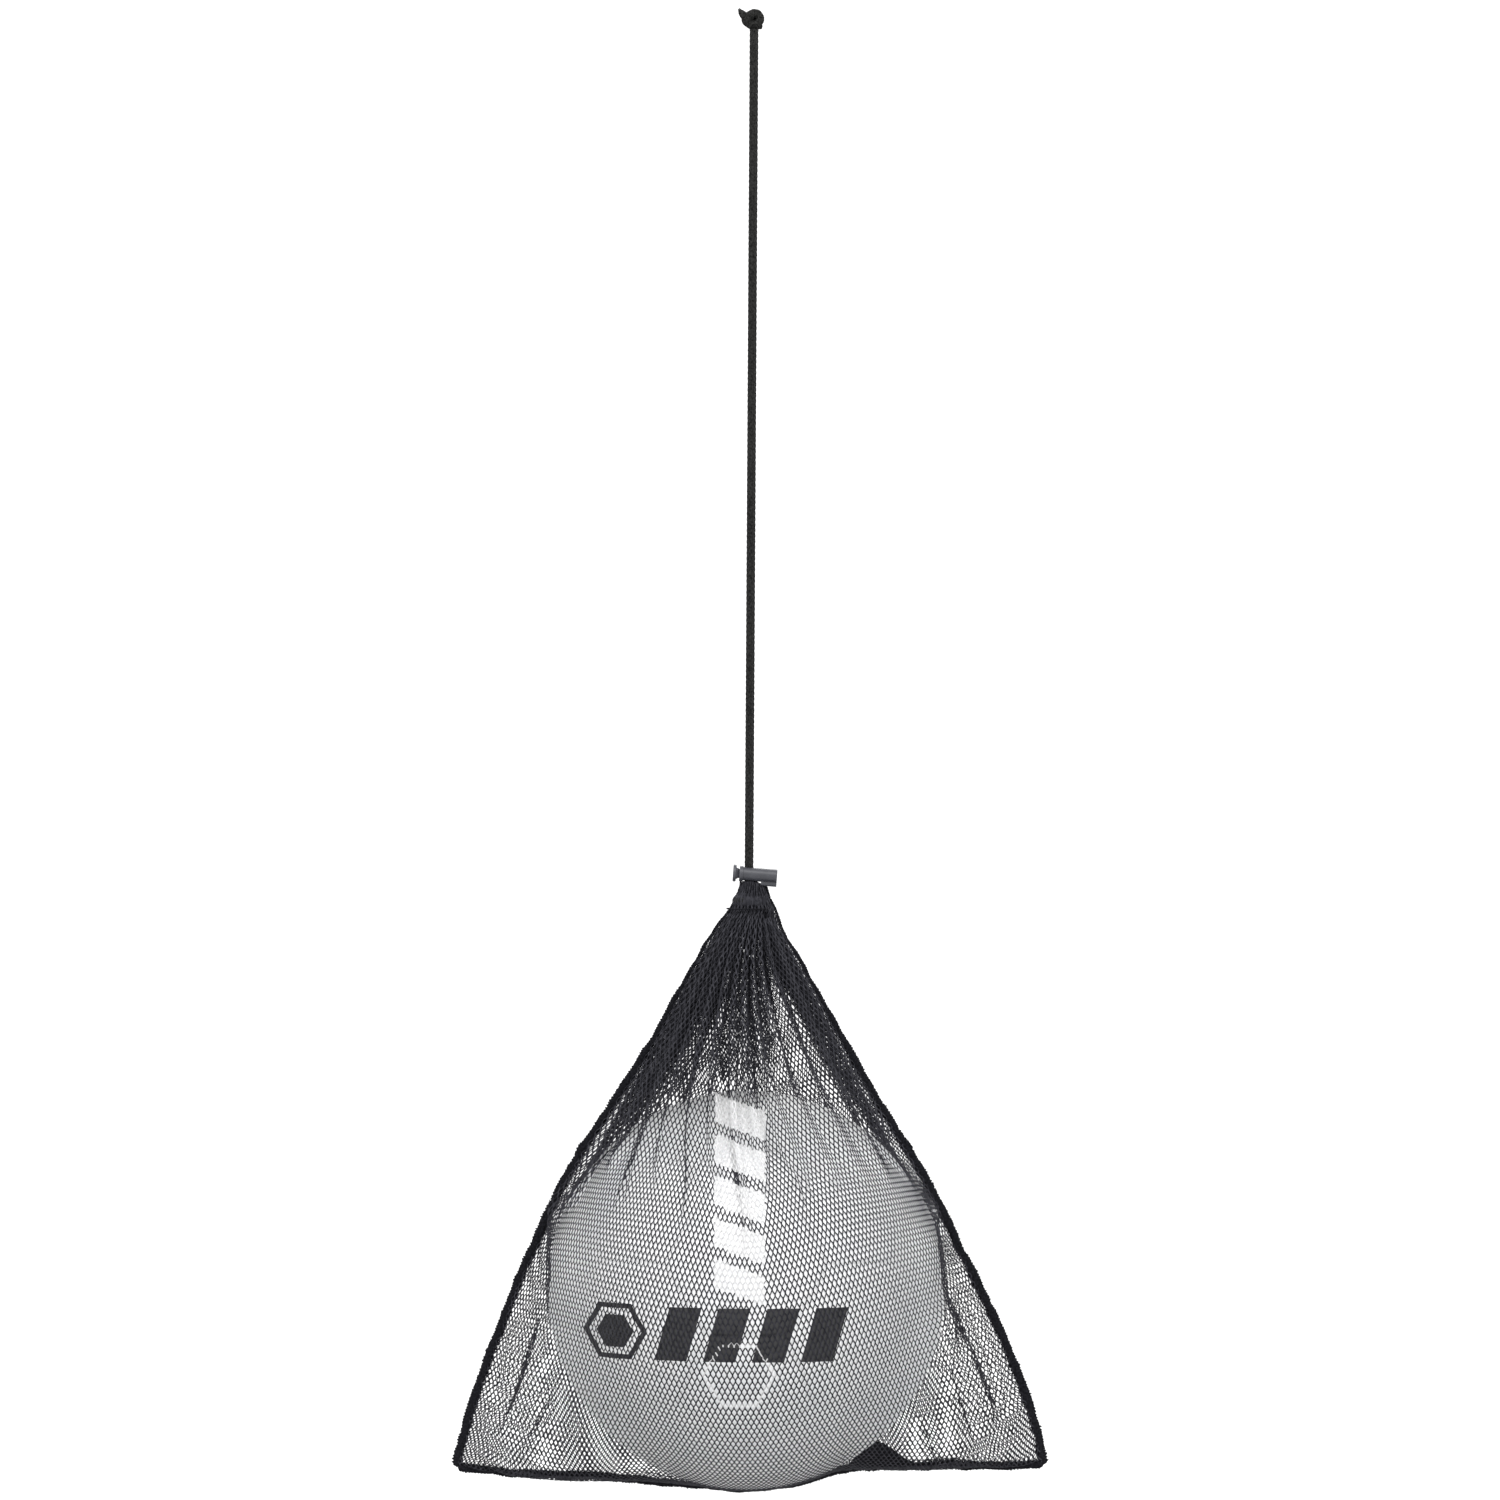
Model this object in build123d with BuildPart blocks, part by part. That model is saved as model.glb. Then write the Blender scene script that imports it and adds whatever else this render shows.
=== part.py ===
from build123d import *

import os
from math import acos, asin, cos, hypot, radians, sin, sqrt

os.makedirs("parts", exist_ok=True)

# Mesh ball bag, closed by its drawcord and hanging with a ball inside. Millimetres, +Z up.
# The origin is the hanging point, just under the end knot, where a hook goes between the two
# cord strands. The bag's front faces -Y, and its width runs along X.

# ---- Ball ----
ball_radius = 109.5  # a size 5 ball, 688 mm round
ball_z = -694.5  # height of the ball's centre below the hanging point
cover_thickness = 1.8
lining_thickness = 1.2
bladder_thickness = 0.9
layer_gap = 0.15  # keeps the ball's curved layers from crossing
valve_radius = 4.0
valve_length = 12.0
valve_tilt = 25.0  # degrees the valve points above the horizontal, at the back
valve_sink = 0.2  # how far the valve's end lies below the cover
needle_radius = 0.5
flange_radius, flange_thickness = 8.8, 1.5

# ---- Drawcord ----
cord_diameter = 4.0
cord_radius = cord_diameter / 2
strand_y = 2.05  # the strands hang one behind the other
front_strand_x, back_strand_x = -0.4, 0.5
strand_top, strand_bottom = 0.3, -477.5
knot_width, knot_depth, knot_height = 13.6, 11.0, 11.3
end_length = 11.6  # from the middle of the knot to a cord end
back_end_shorter = 1.5
end_angle = 44.0  # degrees that the ends point up to the left
knot_low_round, knot_top_round = 1.5, 4.6

# ---- Gathered mouth ----
channel_top, channel_bottom = -473.4, -486.0
channel_top_radius, channel_bottom_radius = 6.8, 12.0
channel_bore = 4.5
channel_cord_z = -480.0
channel_cord_ring = 6.9  # centre radius of the cord where it runs round the mouth
stitch_radius, stitch_gap, stitch_z = 0.4, 0.2, -484.5

# ---- Net panels and sewn edges ----
net_thickness = 1.2
net_clearance = 1.0  # between the ball and the net
panel_gap = 0.5  # half the gap between the two nets along a seam
neck_z = -486.4
neck_radius = 8.0
cone_levels = [neck_z, -505.0, -530.0, -560.0, -590.0]
first_angle, last_angle, step_angle = 50.0, 177.5, 8.5  # levels round the ball, in degrees from its top
flat_from, flat_to = -700.0, -800.0  # heights between which the empty corners flatten
corner_flatness = 0.3
least_ear = 0.3  # how far an ear stands out where there is hardly any
seam_reach, seam_thickness = 4.2, 1.8
bottom_seam_height = 3.2
seam_gap = 0.6

# Edges of the net where it meets the seams, as points in the X-Z plane, from the top down.
left_side_points = [
    (-8.6, -486.4),
    (-28, -519),
    (-57, -572),
    (-92, -626),
    (-121, -689),
    (-144, -750),
    (-154, -786),
]
right_side_points = [
    (8.6, -486.4),
    (28, -519),
    (57, -572),
    (90, -626),
    (123, -689),
    (150, -750),
    (160, -786),
]
left_bottom_points = [(-156.5, -788.5), (-75, -798.5), (-8, -805.0)]
right_bottom_points = [(162.5, -787.5), (100, -788.6), (57, -793.5), (8, -805.0)]

# ---- Cord lock, measured along its own axis from the middle of the cords ----
lock_z = -465.4
lock_tilt = 4.0  # degrees that the lock's right end hangs lower
barrel_left, barrel_right = -5.2, 15.6
barrel_width, barrel_height = 13.8, 7.4
collar_length, collar_width, collar_height = 2.0, 14.8, 8.6
lobe_start, lobe_width, lobe_bottom = 7.0, 9.0, -5.9
head_left, head_thickness = -8.8, 1.8
head_width, head_height = 14.4, 9.4
cone_width, cone_height, cone_length = 12.2, 6.4, 1.7
shank_width, shank_height, shank_right = 10.6, 4.8, 5.6
plunger_travel = 1.7
bore_clearance = 0.15
lobe_corner, slot_corner, shank_corner, cone_corner = 1.2, 1.2, 0.8, 1.4
edge_round = 0.5
bore_right = 12.6
slot_clearance = 0.25
spring_wire, spring_radius, spring_turns = 0.55, 1.8, 5

# ---- Derived places ----
net_radius = ball_radius + net_clearance
lock_axis = Vector(cos(radians(lock_tilt)), 0, -sin(radians(lock_tilt)))
ball_plane = Plane(origin=(0, 0, ball_z))
valve_plane = Plane(
    origin=(0, 0, ball_z),
    x_dir=(1, 0, 0),
    z_dir=(0, cos(radians(valve_tilt)), sin(radians(valve_tilt))),
)


def lock_section(along):
    """The plane across the lock's axis, at a distance from the cords: X to the back, Y up."""
    return Plane(origin=Vector(0, 0, lock_z) + lock_axis * along, x_dir=(0, 1, 0), z_dir=lock_axis)


def edge_through(points):
    """A smooth edge through points of the X-Z plane."""
    return Edge.make_spline([Vector(x, 0, z) for x, z in points])


left_side, right_side = edge_through(left_side_points), edge_through(right_side_points)
left_bottom, right_bottom = edge_through(left_bottom_points), edge_through(right_bottom_points)


def reach_at(edge, z):
    """How far to the side a falling edge is at height z."""
    low, high = 0.0, 1.0
    for _ in range(40):
        middle = (low + high) / 2
        low, high = (middle, high) if (edge @ middle).Z > z else (low, middle)
    return abs((edge @ low).X)


# ---- The bag's hollow shape, as a stack of level sections ----
def round_radius(z, net, neck):
    """Radius of the bag's round part: a cone from the neck, then the ball's own roundness."""
    distance = hypot(neck, neck_z - ball_z)
    touch = asin(neck / distance) + acos(net / distance)
    touch_z, touch_radius = ball_z + net * cos(touch), net * sin(touch)
    if z > touch_z:
        return neck + (touch_radius - neck) * (neck_z - z) / (neck_z - touch_z)
    return sqrt(max(net**2 - (z - ball_z) ** 2, 0))


def net_levels(net):
    """Heights of the level sections, the last one just short of the bottom of the round part."""
    levels = list(cone_levels)
    steps = round((last_angle - first_angle) / step_angle)
    for step in range(steps + 1):
        levels.append(ball_z + net * cos(radians(first_angle + step * step_angle)))
    return levels


def net_shape(levels, net, neck, tip):
    """The space inside (or outside) both nets: level sections, each a round middle with two ears."""
    with BuildPart() as shape:
        for z in levels:
            radius = round_radius(z, net, neck)
            above_corner = z > left_side_points[-1][1]
            left_reach = reach_at(left_side if above_corner else left_bottom, z)
            right_reach = reach_at(right_side if above_corner else right_bottom, z)
            left, right = max(left_reach, radius + least_ear), max(right_reach, radius + least_ear)
            flat = min(max((flat_from - z) / (flat_from - flat_to), 0), 1)
            spread = 1 - (1 - corner_flatness) * flat
            left_turn, right_turn = spread * acos(radius / left), spread * acos(radius / right)
            left_touch = (-radius * cos(left_turn), -radius * sin(left_turn))
            right_touch = (radius * cos(right_turn), -radius * sin(right_turn))
            with BuildSketch(Plane.XY.offset(z)):
                with BuildLine():
                    Line((-left, 0), (-left, -tip))
                    Line((-left, -tip), left_touch)
                    ThreePointArc(left_touch, (0, -radius), right_touch)
                    Line(right_touch, (right, -tip))
                    Line((right, -tip), (right, 0))
                    mirror(about=Plane.XZ)
                make_face()
        loft(ruled=True)
    return shape.part


inside_levels = net_levels(net_radius)
outside_levels = net_levels(net_radius + net_thickness)
bag_inside = net_shape(inside_levels, net_radius, neck_radius, panel_gap / 2)
bag_outside = net_shape(
    outside_levels, net_radius + net_thickness, neck_radius + net_thickness, panel_gap + net_thickness
)

with BuildPart() as net_shell:
    add(bag_outside)
    add(bag_inside, mode=Mode.SUBTRACT)

# ---- Net panels: the bag's front and back, sewn together along three edges ----
with BuildPart() as front_net_panel:
    add(net_shell.part)
    split(bisect_by=Plane.XZ.offset(panel_gap), keep=Keep.TOP)

with BuildPart() as back_net_panel:
    add(net_shell.part)
    split(bisect_by=Plane.XZ.offset(-panel_gap), keep=Keep.BOTTOM)


# ---- Sewn edges: flat overlocked bands that stand out past the net ----
def side_band(points, outward):
    """A side seam: the band between the net's edge and a line seam_reach further out."""
    near = [(x + outward * (net_thickness + seam_gap), z) for x, z in points]
    far = [(x + outward * seam_reach, z) for x, z in near]
    with BuildPart() as band:
        with BuildSketch(Plane.XZ):
            with BuildLine():
                Spline(*near)
                Line(near[-1], far[-1])
                Spline(*far)
                Line(near[0], far[0])
            make_face()
        extrude(amount=seam_thickness / 2, both=True)
    return band


left_side_seam = side_band(left_side_points, -1)
right_side_seam = side_band(right_side_points, 1)

with BuildPart() as bottom_seam:
    top_line = [(x, z - seam_gap - net_thickness) for x, z in left_bottom_points]
    top_line += [(x, z - seam_gap - net_thickness) for x, z in reversed(right_bottom_points)]
    low_line = [(x, z - bottom_seam_height) for x, z in top_line]
    with BuildSketch(Plane.XZ):
        with BuildLine():
            Spline(*top_line)
            Line(top_line[-1], low_line[-1])
            Spline(*low_line)
            Line(top_line[0], low_line[0])
        make_face()
    extrude(amount=seam_thickness / 2, both=True)

# ---- Mouth: the folded channel, bunched round the cord that runs through it ----
with BuildPart() as drawcord_channel:
    with BuildSketch(Plane.XZ):
        with BuildLine():
            Polyline(
                (channel_bore, channel_top),
                (channel_top_radius, channel_top),
                (channel_bottom_radius, channel_bottom),
                (channel_bore, channel_bottom),
                close=True,
            )
        make_face()
    revolve(axis=Axis.Z)
    with BuildSketch(Plane.XZ):
        with Locations((channel_cord_ring, channel_cord_z)):
            Circle(cord_radius + layer_gap)
    revolve(axis=Axis.Z, mode=Mode.SUBTRACT)

with BuildPart() as channel_cord:
    with BuildSketch(Plane.XZ):
        with Locations((channel_cord_ring, channel_cord_z)):
            Circle(cord_radius)
    revolve(axis=Axis.Z)

with BuildPart() as channel_stitching:
    channel_slope = (channel_bottom_radius - channel_top_radius) / (channel_top - channel_bottom)
    channel_skin = channel_top_radius + channel_slope * (channel_top - stitch_z)
    with BuildSketch(Plane.XZ):
        with Locations((channel_skin + stitch_radius + stitch_gap, stitch_z)):
            Circle(stitch_radius)
    revolve(axis=Axis.Z)

# ---- Drawcord: two strands up from the mouth, tied together in one knot ----
def cord_strand(x, y):
    """One straight strand under tension, from inside the mouth to the knot."""
    with BuildPart() as strand:
        with BuildSketch(Plane.XY.offset(strand_bottom)):
            with Locations((x, y)):
                Circle(cord_radius)
        extrude(amount=strand_top - strand_bottom)
    return strand


front_cord_strand = cord_strand(front_strand_x, -strand_y)
back_cord_strand = cord_strand(back_strand_x, strand_y)

with BuildPart() as end_knot:
    with BuildSketch(Plane.XZ) as knot_profile:
        with BuildLine():
            Polyline(
                (0, strand_top),
                (knot_depth / 2, strand_top),
                (knot_depth / 2, strand_top + knot_height),
                (0, strand_top + knot_height),
                close=True,
            )
        make_face()
        outer_corners = knot_profile.vertices().group_by(Axis.X)[-1].sort_by(Axis.Y)
        fillet(outer_corners[0], radius=knot_low_round)
        fillet(outer_corners[1], radius=knot_top_round)
    revolve(axis=Axis.Z)
    scale(by=(knot_width / knot_depth, 1, 1))


def cord_end(y, length):
    """One cut end, standing out of the knot up to the left."""
    heading = (-cos(radians(end_angle)), 0, sin(radians(end_angle)))
    with BuildPart() as end:
        with BuildSketch(Plane(origin=(0, y, strand_top + knot_height / 2), x_dir=(0, 1, 0), z_dir=heading)):
            Circle(cord_radius)
        extrude(amount=length)
        add(end_knot.part, mode=Mode.SUBTRACT)
    return end


front_cord_end = cord_end(-strand_y, end_length)
back_cord_end = cord_end(strand_y, end_length - back_end_shorter)

# ---- Cord lock ----
slot_left = front_strand_x - cord_radius - slot_clearance
slot_right = back_strand_x + cord_radius + slot_clearance
slot_half_width = strand_y + cord_radius + slot_clearance
bore_width, bore_height = shank_width + 2 * bore_clearance, shank_height + 2 * bore_clearance
mouth_width, mouth_height = cone_width + 2 * bore_clearance, cone_height + 2 * bore_clearance


def cord_slot(left, right):
    """The upright slot that both strands pass through, as a solid to cut away."""
    with BuildPart() as slot:
        with BuildSketch(Plane.XY.offset(lock_z)):
            with Locations(((left + right) / 2, 0)):
                RectangleRounded(right - left, 2 * slot_half_width, slot_corner)
        extrude(amount=barrel_width, both=True)
    return slot.part


with BuildPart() as lock_barrel:
    with BuildSketch(lock_section(barrel_left)):
        SlotOverall(barrel_width, barrel_height)
    extrude(amount=barrel_right - barrel_left)
    with BuildSketch(lock_section(barrel_left)):
        SlotOverall(collar_width, collar_height)
    extrude(amount=collar_length)
    with BuildSketch(lock_section(lobe_start)):
        with Locations((0, lobe_bottom / 2)):
            RectangleRounded(lobe_width, -lobe_bottom, lobe_corner)
    extrude(amount=barrel_right - lobe_start)
    fillet(lock_barrel.edges().group_by(Axis.X)[-1], radius=edge_round)
    with BuildSketch(lock_section(barrel_left)):
        RectangleRounded(bore_width, bore_height, shank_corner)
    extrude(amount=bore_right - barrel_left, mode=Mode.SUBTRACT)
    with BuildSketch(lock_section(barrel_left)):
        RectangleRounded(mouth_width, mouth_height, cone_corner)
    with BuildSketch(lock_section(barrel_left + plunger_travel)):
        RectangleRounded(bore_width, bore_height, shank_corner)
    loft(mode=Mode.SUBTRACT)
    add(cord_slot(slot_left, slot_right), mode=Mode.SUBTRACT)

with BuildPart() as lock_plunger:
    with BuildSketch(lock_section(head_left)):
        SlotOverall(head_width, head_height)
    extrude(amount=head_thickness)
    fillet(lock_plunger.edges(), radius=edge_round)
    with BuildSketch(lock_section(head_left + head_thickness)):
        RectangleRounded(cone_width, cone_height, cone_corner)
    with BuildSketch(lock_section(head_left + head_thickness + cone_length)):
        RectangleRounded(shank_width, shank_height, shank_corner)
    loft()
    with BuildSketch(lock_section(head_left + head_thickness + cone_length)):
        RectangleRounded(shank_width, shank_height, shank_corner)
    extrude(amount=shank_right - head_left - head_thickness - cone_length)
    add(cord_slot(slot_left - plunger_travel, slot_right), mode=Mode.SUBTRACT)

with BuildPart() as lock_spring:
    spring_length = bore_right - shank_right - spring_wire - 2 * layer_gap
    coil_plane = lock_section(shank_right + layer_gap + spring_wire / 2)
    with BuildLine() as coil:
        Helix(
            pitch=spring_length / spring_turns,
            height=spring_length,
            radius=spring_radius,
            center=coil_plane.origin,
            direction=lock_axis,
        )
    with BuildSketch(Plane(origin=coil.line @ 0, z_dir=coil.line % 0)):
        Circle(spring_wire / 2)
    sweep(path=coil.line, is_frenet=True)

# ---- Ball ----
def ball_layer(outer, thickness):
    """One closed hollow layer of the ball, with the valve's hole through it."""
    with BuildPart(ball_plane) as layer:
        Sphere(outer)
        Sphere(outer - thickness, mode=Mode.SUBTRACT)
    return layer


lining_radius = ball_radius - cover_thickness - layer_gap
bladder_radius = lining_radius - lining_thickness - layer_gap
with BuildPart() as ball_cover:
    add(ball_layer(ball_radius, cover_thickness).part)
    with BuildSketch(valve_plane):
        Circle(valve_radius + layer_gap)
    extrude(amount=ball_radius + cover_thickness, mode=Mode.SUBTRACT)

with BuildPart() as ball_lining:
    add(ball_layer(lining_radius, lining_thickness).part)
    with BuildSketch(valve_plane):
        Circle(valve_radius + layer_gap)
    extrude(amount=ball_radius, mode=Mode.SUBTRACT)

with BuildPart() as ball_bladder:
    add(ball_layer(bladder_radius, bladder_thickness).part)
    with BuildSketch(valve_plane):
        Circle(valve_radius + layer_gap)
    extrude(amount=ball_radius, mode=Mode.SUBTRACT)

with BuildPart() as ball_valve:
    valve_top = sqrt(ball_radius**2 - valve_radius**2) - valve_sink
    with BuildSketch(valve_plane.offset(valve_top - valve_length)):
        Circle(valve_radius)
        Circle(needle_radius, mode=Mode.SUBTRACT)
    extrude(amount=valve_length)
    with BuildSketch(valve_plane.offset(valve_top - valve_length)):
        Circle(flange_radius)
        Circle(valve_radius - needle_radius, mode=Mode.SUBTRACT)
    extrude(amount=flange_thickness)

parts = {
    "front_net_panel": front_net_panel,
    "back_net_panel": back_net_panel,
    "left_side_seam": left_side_seam,
    "right_side_seam": right_side_seam,
    "bottom_seam": bottom_seam,
    "drawcord_channel": drawcord_channel,
    "channel_cord": channel_cord,
    "channel_stitching": channel_stitching,
    "front_cord_strand": front_cord_strand,
    "back_cord_strand": back_cord_strand,
    "end_knot": end_knot,
    "front_cord_end": front_cord_end,
    "back_cord_end": back_cord_end,
    "lock_barrel": lock_barrel,
    "lock_plunger": lock_plunger,
    "lock_spring": lock_spring,
    "ball_cover": ball_cover,
    "ball_lining": ball_lining,
    "ball_bladder": ball_bladder,
    "ball_valve": ball_valve,
}
for name, piece in parts.items():
    piece.part.label = name
    export_step(piece.part, f"parts/{name}.step")
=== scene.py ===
from math import acos, asin, cos, hypot, pi, radians, sin, sqrt

import bpy
import numpy as np
from mathutils import Matrix, Vector


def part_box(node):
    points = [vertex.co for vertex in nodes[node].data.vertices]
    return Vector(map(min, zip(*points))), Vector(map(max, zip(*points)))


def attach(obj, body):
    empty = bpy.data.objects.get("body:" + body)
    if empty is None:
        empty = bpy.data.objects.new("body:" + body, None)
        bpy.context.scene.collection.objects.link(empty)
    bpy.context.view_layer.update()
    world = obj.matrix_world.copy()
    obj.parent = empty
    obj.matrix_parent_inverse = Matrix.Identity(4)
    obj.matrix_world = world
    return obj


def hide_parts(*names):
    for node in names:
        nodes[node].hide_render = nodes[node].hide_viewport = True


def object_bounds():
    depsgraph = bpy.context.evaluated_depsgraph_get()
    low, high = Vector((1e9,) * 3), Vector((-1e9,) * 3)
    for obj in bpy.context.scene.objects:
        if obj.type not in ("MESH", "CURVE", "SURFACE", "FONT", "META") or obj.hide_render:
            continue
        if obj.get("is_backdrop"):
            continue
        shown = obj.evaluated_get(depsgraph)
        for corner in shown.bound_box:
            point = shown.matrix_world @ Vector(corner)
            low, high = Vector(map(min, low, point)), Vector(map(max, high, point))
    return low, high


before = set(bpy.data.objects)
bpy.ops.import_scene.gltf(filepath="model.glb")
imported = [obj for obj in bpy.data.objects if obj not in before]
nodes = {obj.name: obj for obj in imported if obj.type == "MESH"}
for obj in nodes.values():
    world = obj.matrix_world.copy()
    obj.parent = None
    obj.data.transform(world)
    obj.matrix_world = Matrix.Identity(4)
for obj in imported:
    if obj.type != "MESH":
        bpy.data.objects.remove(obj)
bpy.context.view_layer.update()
MM = 0.001

# ---- Places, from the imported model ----
ball_low, ball_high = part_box("ball_cover")
BALL = np.array((ball_low + ball_high) / 2)
BALL_RADIUS = (ball_high.x - ball_low.x) / 2
knot_low, knot_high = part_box("end_knot")
channel_low, channel_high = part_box("drawcord_channel")
VALVE_TILT = radians(25)  # the valve looks backwards and this much up
VALVE_RADIUS = 4.15 * MM

# ---- Camera: long lens, straight on, the whole bag in a square frame ----
FRAME_SIDE = 0.827
FRAME_CENTRE = Vector((0.0002, 0, -0.397))
CAMERA_DISTANCE = 3.6
LEAN = 0.00602  # the hanging bag leans this much in the picture

camera = bpy.data.objects.new("camera", bpy.data.cameras.new("camera"))
bpy.context.scene.collection.objects.link(camera)
camera.data.sensor_width = 36
camera.data.lens = camera.data.sensor_width * CAMERA_DISTANCE / FRAME_SIDE
camera.data.clip_end = 50
right_way = Vector((1, 0, LEAN)).normalized()
up_way = Vector((-LEAN, 0, 1)).normalized()
camera.matrix_world = Matrix.Translation(FRAME_CENTRE - Vector((0, CAMERA_DISTANCE, 0))) @ Matrix(
    (right_way, up_way, right_way.cross(up_way))
).transposed().to_4x4()
bpy.context.scene.camera = camera


# ---- Materials ----
def link(tree, output, socket):
    """Joins an output socket to an input socket."""
    tree.links.new(output, socket)


def mottled(name, colour, rough, dark, light, scale, bump=0.0, bump_scale=None, distance=0.2 * MM, **sockets):
    """A Principled material whose colour varies between dark and light by noise, with an optional fine bump;
    the plain colour is there for programs that don't read the noise."""
    made = bpy.data.materials.new(name)
    made.use_nodes = True
    tree = made.node_tree
    shader = tree.nodes["Principled BSDF"]
    shader.inputs["Base Color"].default_value = (*colour, 1)
    shader.inputs["Roughness"].default_value = rough
    for socket, value in sockets.items():
        shader.inputs[socket.replace("_", " ")].default_value = value
    place = tree.nodes.new("ShaderNodeTexCoord")
    noise = tree.nodes.new("ShaderNodeTexNoise")
    noise.inputs["Scale"].default_value = scale
    noise.inputs["Detail"].default_value = 3
    ramp = tree.nodes.new("ShaderNodeValToRGB")
    for stop, position, shade in zip(ramp.color_ramp.elements, (0.35, 0.65), (dark, light)):
        stop.position, stop.color = position, (*shade, 1)
    link(tree, place.outputs["Object"], noise.inputs["Vector"])
    link(tree, noise.outputs["Fac"], ramp.inputs["Fac"])
    link(tree, ramp.outputs["Color"], shader.inputs["Base Color"])
    if bump:
        grain = tree.nodes.new("ShaderNodeTexNoise")
        grain.inputs["Scale"].default_value = bump_scale or scale * 8
        grain.inputs["Detail"].default_value = 2
        relief = tree.nodes.new("ShaderNodeBump")
        relief.inputs["Strength"].default_value = bump
        relief.inputs["Distance"].default_value = distance
        link(tree, place.outputs["Object"], grain.inputs["Vector"])
        link(tree, grain.outputs["Fac"], relief.inputs["Height"])
        link(tree, relief.outputs["Normal"], shader.inputs["Normal"])
    return made


net_black = mottled("net_yarn", (0.02, 0.02, 0.024), 0.75, (0.012, 0.012, 0.016), (0.034, 0.034, 0.041),
                    420, bump=0.5, bump_scale=2600, Specular_IOR_Level=0.15)
net_white = mottled("net_print", (0.8, 0.8, 0.8), 0.5, (0.44, 0.44, 0.45), (0.58, 0.58, 0.58),
                    500, bump=0.3, bump_scale=2600)
binding_black = mottled("seam_thread", (0.01, 0.01, 0.013), 0.85, (0.004, 0.004, 0.005),
                        (0.012, 0.012, 0.015), 900, bump=0.7, bump_scale=3200, Specular_IOR_Level=0.06)
cord_black = mottled("cord_yarn", (0.01, 0.01, 0.01), 0.7, (0.001, 0.001, 0.001), (0.021, 0.021, 0.020),
                     1100, bump=0.9, bump_scale=3600, Specular_IOR_Level=0.1)
lock_grey = mottled("lock_plastic", (0.11, 0.112, 0.13), 0.42, (0.028, 0.029, 0.036), (0.040, 0.041, 0.050),
                    180, bump=0.12, bump_scale=2500, distance=0.1 * MM)
steel = mottled("spring_steel", (0.55, 0.55, 0.57), 0.3, (0.45, 0.45, 0.47), (0.62, 0.62, 0.64),
                600, Metallic=1.0)
lining_cloth = mottled("ball_lining", (0.8, 0.79, 0.75), 0.9, (0.7, 0.69, 0.65), (0.84, 0.83, 0.79),
                       900, bump=0.4)
rubber = mottled("bladder_rubber", (0.05, 0.05, 0.05), 0.6, (0.035, 0.035, 0.035), (0.06, 0.06, 0.06),
                 120, bump=0.1)
valve_rubber = mottled("valve_rubber", (0.06, 0.06, 0.065), 0.5, (0.045, 0.045, 0.05), (0.075, 0.075, 0.08),
                       300, bump=0.1)
heat_sealed = mottled("heat_sealed_tip", (0.012, 0.012, 0.012), 0.25, (0.008, 0.008, 0.008),
                      (0.02, 0.02, 0.02), 900, bump=0.4)


# The ball's cover: pale grained plastic, printed with a plain six-sided mark and a row of slanted bars.
PRINT_DROP = 0.0158  # the row of marks is this far below the ball's middle
BAR_PITCH, BAR_SHARE, BAR_LEAN = 0.0262, 0.66, 0.28
BARS_LEFT, BARS_RIGHT, BAR_HALF = -0.0452, 0.0535, 0.0146
MARK_X, MARK_HEART, MARK_RING = -0.0707, 0.0088, (0.0125, 0.0152)
SIX_SLANT = 0.866  # sine of 60 degrees, for the slanted sides of six-sided marks
INK = (0.012, 0.012, 0.014)


def print_on_ball(finish):
    """Puts the dark marks on the front of the ball's cover, over the colour that the material has."""
    tree = finish.node_tree
    base_colour = tree.nodes["Principled BSDF"].inputs["Base Color"]

    def calc(operation, a, b=None):
        """The output of a Math node; a and b are sockets or numbers."""
        made = tree.nodes.new("ShaderNodeMath")
        made.operation = operation
        for socket, value in zip(made.inputs, (a, b)):
            if isinstance(value, (int, float)):
                socket.default_value = value
            elif value is not None:
                link(tree, value, socket)
        return made.outputs[0]

    def within(value, low, high):
        """1 where value lies between low and high, and 0 elsewhere."""
        return calc("MULTIPLY", calc("GREATER_THAN", value, low), calc("LESS_THAN", value, high))

    place = tree.nodes.new("ShaderNodeTexCoord")
    axes = tree.nodes.new("ShaderNodeSeparateXYZ")
    link(tree, place.outputs["Object"], axes.inputs[0])
    across = axes.outputs["X"]
    height = calc("SUBTRACT", axes.outputs["Z"], float(BALL[2]) - PRINT_DROP)
    slanted = calc("ADD", across, calc("MULTIPLY", height, -BAR_LEAN))
    step = calc("FRACT", calc("DIVIDE", calc("SUBTRACT", slanted, BARS_LEFT), BAR_PITCH))
    row = calc("MULTIPLY", calc("LESS_THAN", step, BAR_SHARE), within(slanted, BARS_LEFT, BARS_RIGHT))
    bars = calc("MULTIPLY", row, within(height, -BAR_HALF, BAR_HALF))
    mark_x = calc("ABSOLUTE", calc("SUBTRACT", across, MARK_X))
    mark_z = calc("ABSOLUTE", height)
    side = calc("ADD", calc("MULTIPLY", mark_x, SIX_SLANT), calc("MULTIPLY", mark_z, 0.5))
    six = calc("MAXIMUM", mark_z, side)
    mark = calc("MAXIMUM", within(six, *MARK_RING), calc("LESS_THAN", six, MARK_HEART))
    front = calc("LESS_THAN", axes.outputs["Y"], 0.0)
    mix = tree.nodes.new("ShaderNodeMix")
    mix.data_type = "RGBA"
    link(tree, calc("MULTIPLY", calc("MAXIMUM", bars, mark), front), mix.inputs["Factor"])
    link(tree, base_colour.links[0].from_socket, mix.inputs[6])
    mix.inputs[7].default_value = (*INK, 1)
    link(tree, mix.outputs[2], base_colour)


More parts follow.
